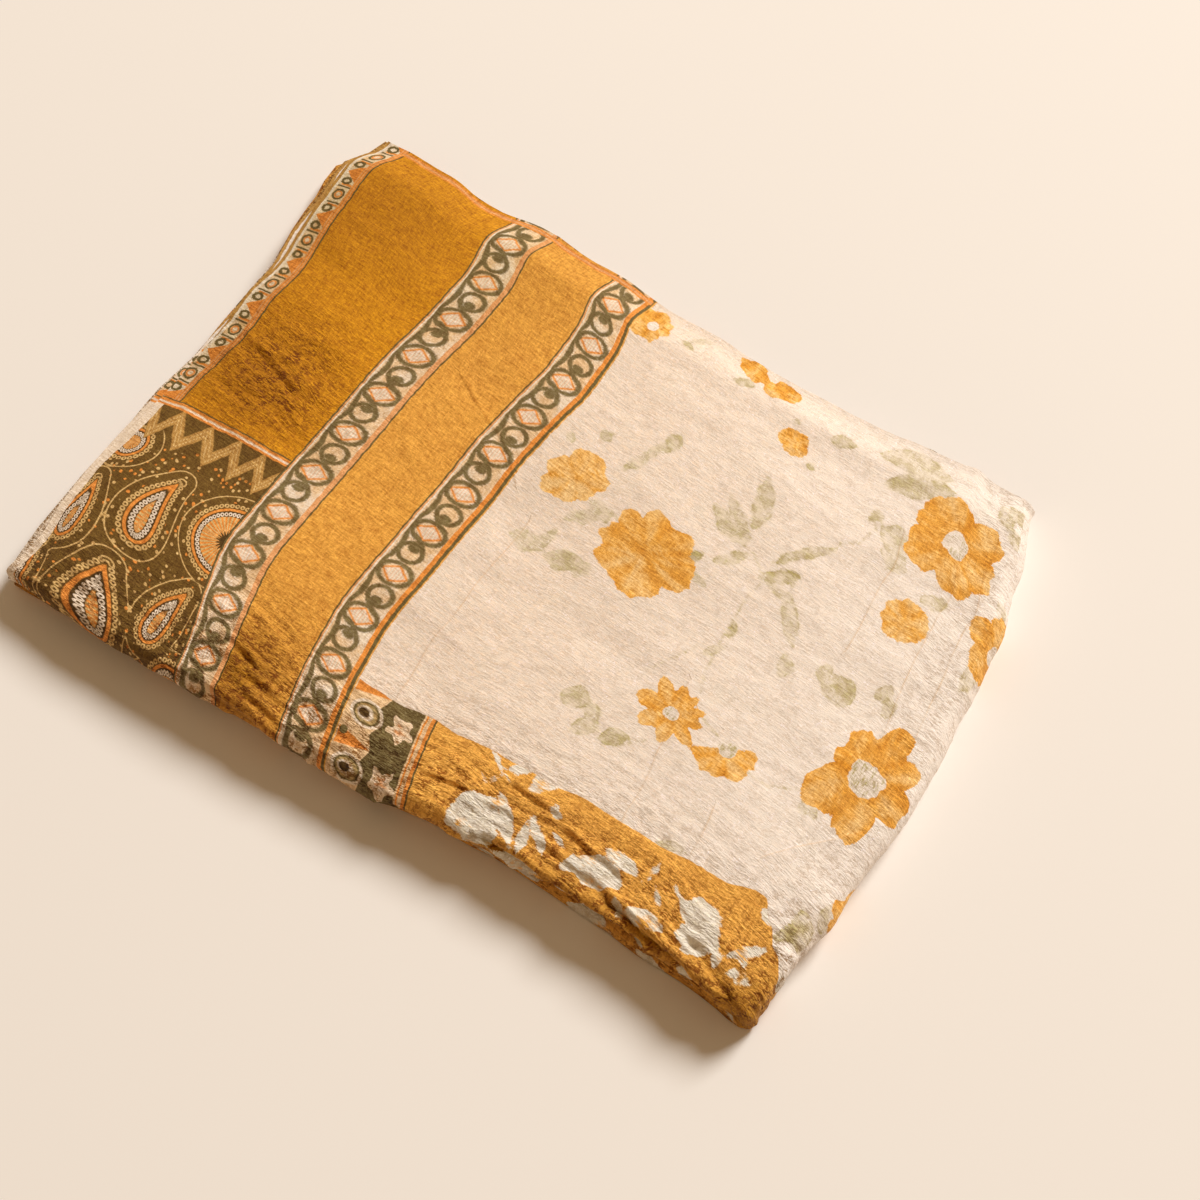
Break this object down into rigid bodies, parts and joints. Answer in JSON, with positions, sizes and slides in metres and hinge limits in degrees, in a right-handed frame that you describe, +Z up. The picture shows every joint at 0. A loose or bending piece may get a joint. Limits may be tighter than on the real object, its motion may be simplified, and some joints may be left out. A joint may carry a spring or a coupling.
{
  "type": "folded printed cloth length",
  "caption": "Printed silk and cotton cloth length, folded in half across its width and twice along its length into a soft flat rectangular pile.",
  "frame": {"origin": "on the resting surface, under the middle of the folded pile's box", "axes": "+X along the pile's long side towards the outer bend, +Y from the front fold towards the selvages at the back, +Z up"},
  "size_m": [0.6357, 0.4603, 0.0377],
  "materials": {
    "printed_cloth": "crushed sheer silk and cotton weave, printed in mustard, cream, olive and orange, soft sheen"
  },
  "bodies": {
    "root": {"folded_cloth": "printed_cloth"}
  },
  "joints": []
}
